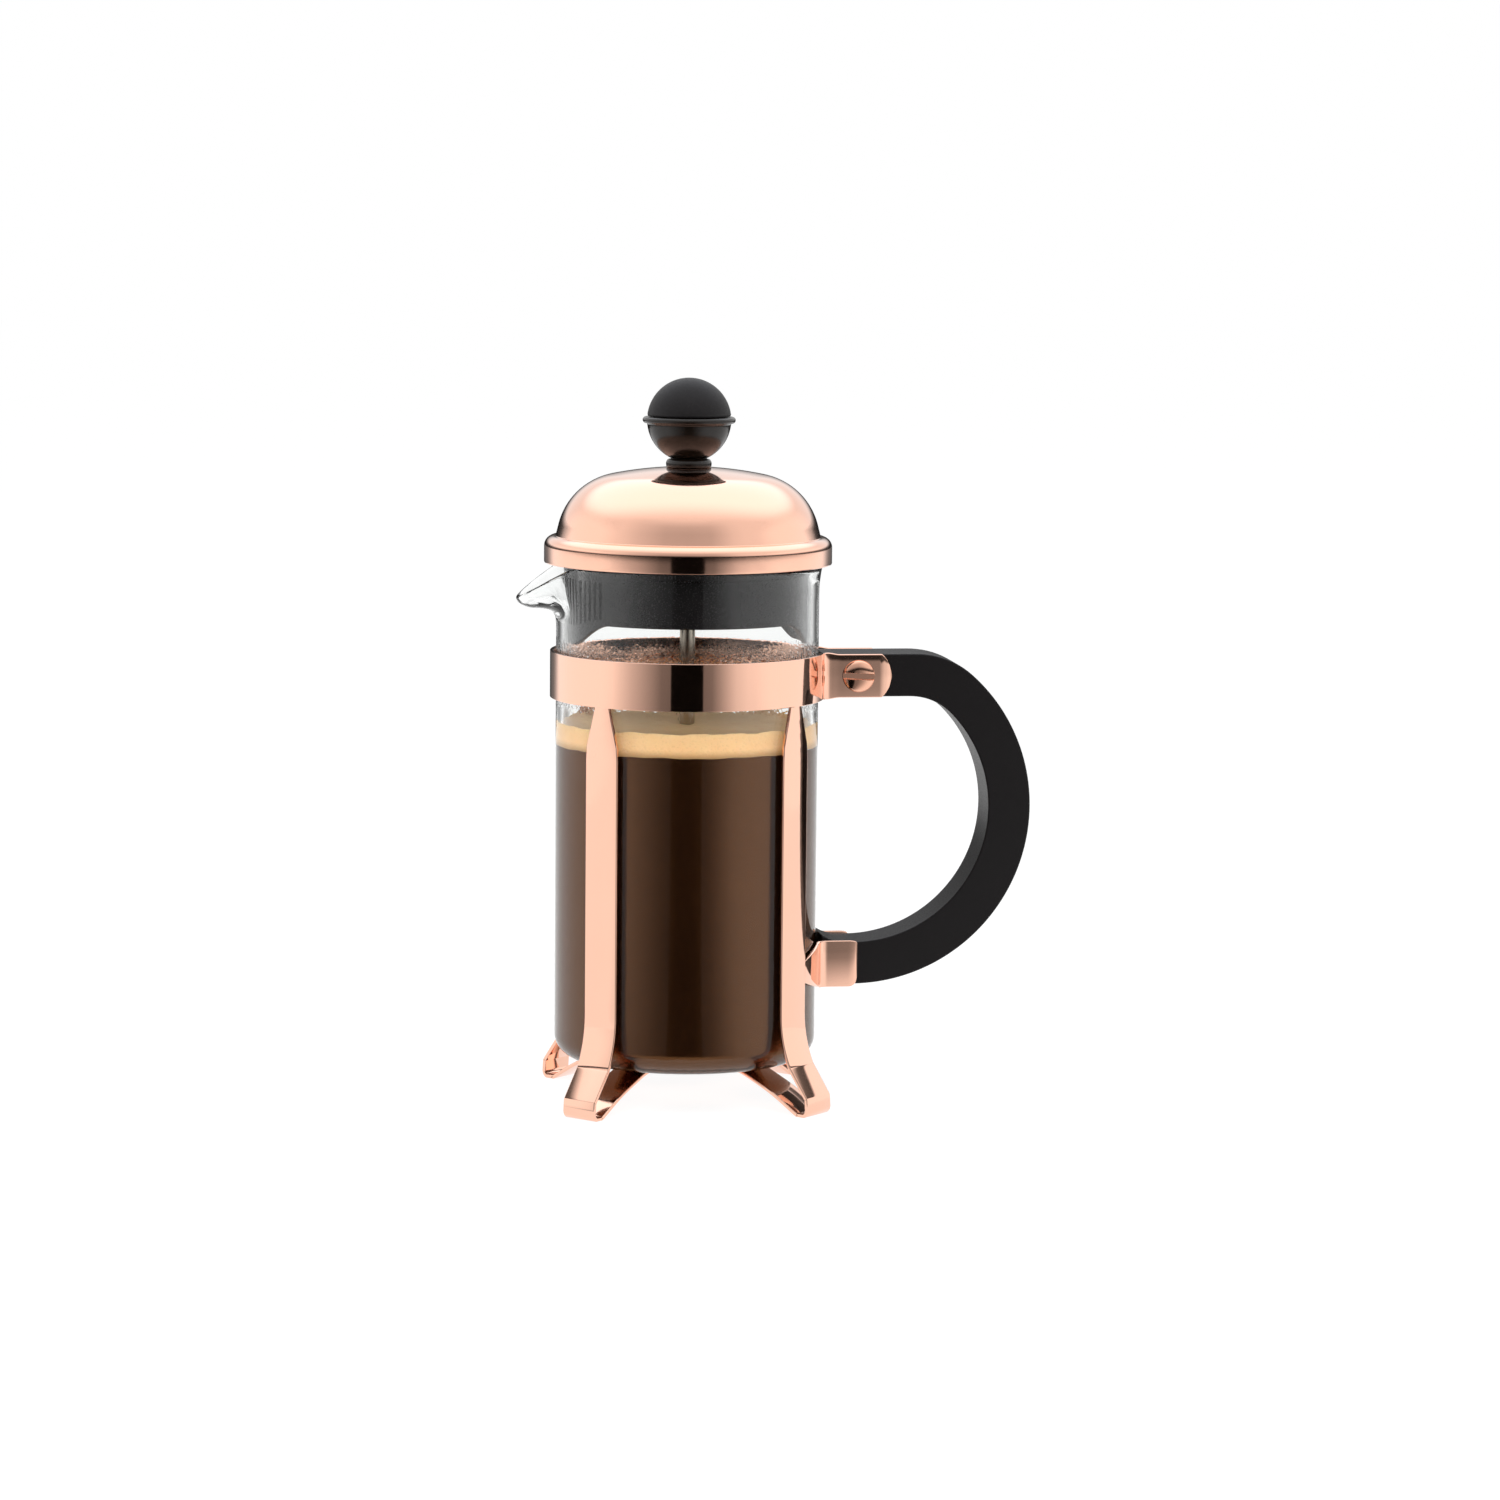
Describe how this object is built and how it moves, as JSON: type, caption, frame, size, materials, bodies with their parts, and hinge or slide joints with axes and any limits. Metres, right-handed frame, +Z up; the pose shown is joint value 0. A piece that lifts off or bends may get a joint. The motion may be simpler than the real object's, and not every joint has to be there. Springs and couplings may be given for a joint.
{
  "type": "french press",
  "caption": "Cylindrical glass beaker in a copper-plated stamped frame with curled feet, D-shaped black handle, domed copper lid and a ball-knob plunger with a sprung filter pack.",
  "frame": {"origin": "on the table, under the middle of the whole press; the beaker's axis is 23.2 mm towards the spout from it", "axes": "+Z up, +X towards the handle, the spout at -X, +Y away from the front view"},
  "size_m": [0.138, 0.0766, 0.193],
  "materials": {
    "clear_glass": "clear borosilicate, fire polished",
    "copper_plate": "polished copper plating on steel",
    "copper_screw": "polished copper plating",
    "copper_lid": "mirror copper plating on steel",
    "black_plastic": "satin moulded",
    "grey_black_plastic": "smooth moulded",
    "knob_gloss_black": "glossy moulded",
    "knob_satin_black": "fine matt texture",
    "steel": "bright stainless",
    "wire_mesh": "fine woven stainless",
    "brass": "turned"
  },
  "bodies": {
    "frame": {"frame_band": "copper_plate", "leg_back_right": "copper_plate", "leg_back_left": "copper_plate", "leg_front_left": "copper_plate", "leg_front_right": "copper_plate", "base_plate": "copper_plate", "handle": "black_plastic", "handle_screw": "copper_screw", "handle_nut": "copper_screw"},
    "beaker": {"beaker": "clear_glass"},
    "lid_bush": {"lid_bush": "steel"},
    "lid": {"lid_dome": "copper_lid", "lid_insert": "grey_black_plastic"},
    "plunger": {"knob_base": "knob_gloss_black", "knob_cap": "knob_satin_black", "knob_insert": "brass", "plunger_rod": "steel", "filter_hub": "steel", "cross_plate": "steel", "mesh_filter": "wire_mesh", "spiral_plate": "steel", "spring_coil": "steel", "rod_collar": "steel"}
  },
  "joints": [
    {"name": "beaker_lift", "type": "slide", "parent": "frame", "child": "beaker", "axis": [0, 0, 1], "range_m": [0, 0.115]},
    {"name": "lid_lift", "type": "slide", "parent": "beaker", "child": "lid_bush", "axis": [0, 0, 1], "range_m": [0, 0.135]},
    {"name": "lid_turn", "type": "hinge", "parent": "lid_bush", "child": "lid", "pos_m": [-0.02322, 0, 0.1516], "axis": [0, 0, 1], "continuous": true},
    {"name": "plunger_slide", "type": "slide", "parent": "lid_bush", "child": "plunger", "axis": [0, 0, 1], "range_m": [0, 0.1]}
  ]
}
